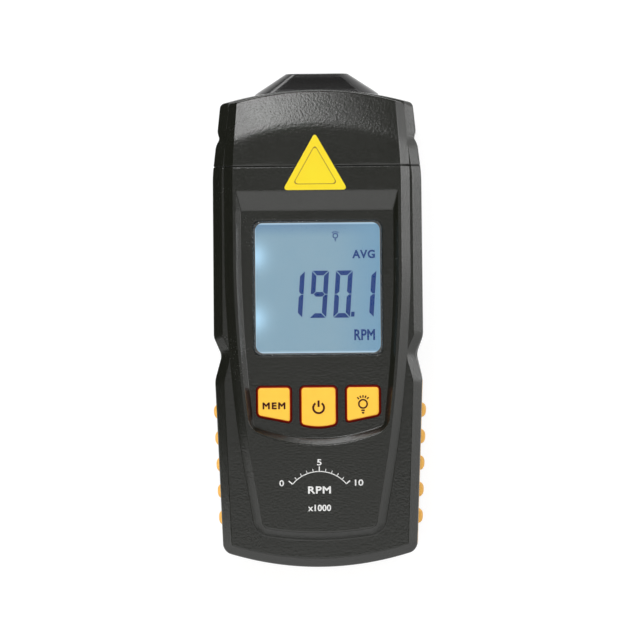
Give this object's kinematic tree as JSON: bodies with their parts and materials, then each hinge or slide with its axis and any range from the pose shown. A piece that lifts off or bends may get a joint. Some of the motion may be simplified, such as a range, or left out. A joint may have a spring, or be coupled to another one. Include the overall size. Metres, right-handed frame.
{
  "type": "laser tachometer",
  "caption": "Hand-held optical tachometer with a lit display, orange keys and grips, a beam window in its nose and a sliding battery door.",
  "frame": {"origin": "under the middle of the instrument, on the plane of its back, as it lies on a table with the display up", "axes": "+X to the right of the display as the user reads it, +Y along the beam towards the nose, +Z out of the face with the display"},
  "size_m": [0.0568, 0.1302, 0.0301],
  "materials": {
    "housing": "fine-grained black moulding",
    "grip": "orange elastomer, matt",
    "key": "orange silicone key, satin",
    "window": "clear polished window",
    "dark_window": "dark red filter window, polished",
    "lcd": "display glass, lit pale blue",
    "frame_white": "white moulding",
    "light_guide": "milky light guide",
    "rubber_strip": "conducting strip",
    "led": "lamp body",
    "board": "green circuit board",
    "chip": "black moulding",
    "plunger": "pale moulding",
    "steel": "plated steel",
    "brass": "turned brass",
    "lens": "polished lens",
    "cell": "plain sleeve, unmarked",
    "contact": "nickel-plated spring steel",
    "label": "yellow film label, plain"
  },
  "bodies": {
    "housing": {"rear_shell": "housing", "front_shell": "housing", "head_cap": "housing", "nose_hood": "housing", "grip_band": "grip", "display_window": "window", "lens_window": "dark_window", "lcd_glass": "lcd", "lcd_frame": "frame_white", "light_guide": "light_guide", "zebra_strip_lower": "rubber_strip", "zebra_strip_upper": "rubber_strip", "backlight_led_1": "led", "backlight_led_2": "led", "main_board": "board", "controller_chip": "chip", "crystal": "steel", "capacitor": "chip", "switch_memory": "chip", "switch_power": "chip", "switch_light": "chip", "optics_holder": "chip", "laser_module": "brass", "laser_lens": "lens", "receiver_lens": "lens", "photodiode": "dark_window", "cell_1": "cell", "cell_2": "cell", "cell_3": "cell", "contact_tail": "contact", "contact_head": "contact", "spring_1": "contact", "spring_2": "contact", "spring_3": "contact", "case_screw_tail_left": "steel", "case_screw_tail_right": "steel", "case_screw_head_left": "steel", "case_screw_head_right": "steel", "board_screw_lower_left": "steel", "board_screw_lower_right": "steel", "board_screw_upper_left": "steel", "board_screw_upper_right": "steel", "pointer_label": "label"},
    "memory_key": {"key_memory": "key", "plunger_memory": "plunger"},
    "power_key": {"key_power": "key", "plunger_power": "plunger"},
    "light_key": {"key_light": "key", "plunger_light": "plunger"},
    "door": {"battery_door": "housing"}
  },
  "joints": [
    {"name": "memory_key_press", "type": "slide", "parent": "housing", "child": "memory_key", "axis": [0, 0, -1], "range_m": [0, 0.0005], "stiffness_N_per_m": 500, "springref_m": -0.001},
    {"name": "power_key_press", "type": "slide", "parent": "housing", "child": "power_key", "axis": [0, 0, -1], "range_m": [0, 0.0005], "stiffness_N_per_m": 500, "springref_m": -0.001},
    {"name": "light_key_press", "type": "slide", "parent": "housing", "child": "light_key", "axis": [0, 0, -1], "range_m": [0, 0.0005], "stiffness_N_per_m": 500, "springref_m": -0.001},
    {"name": "battery_door_slide", "type": "slide", "parent": "housing", "child": "door", "axis": [0, -1, 0], "range_m": [0, 0.062]}
  ]
}
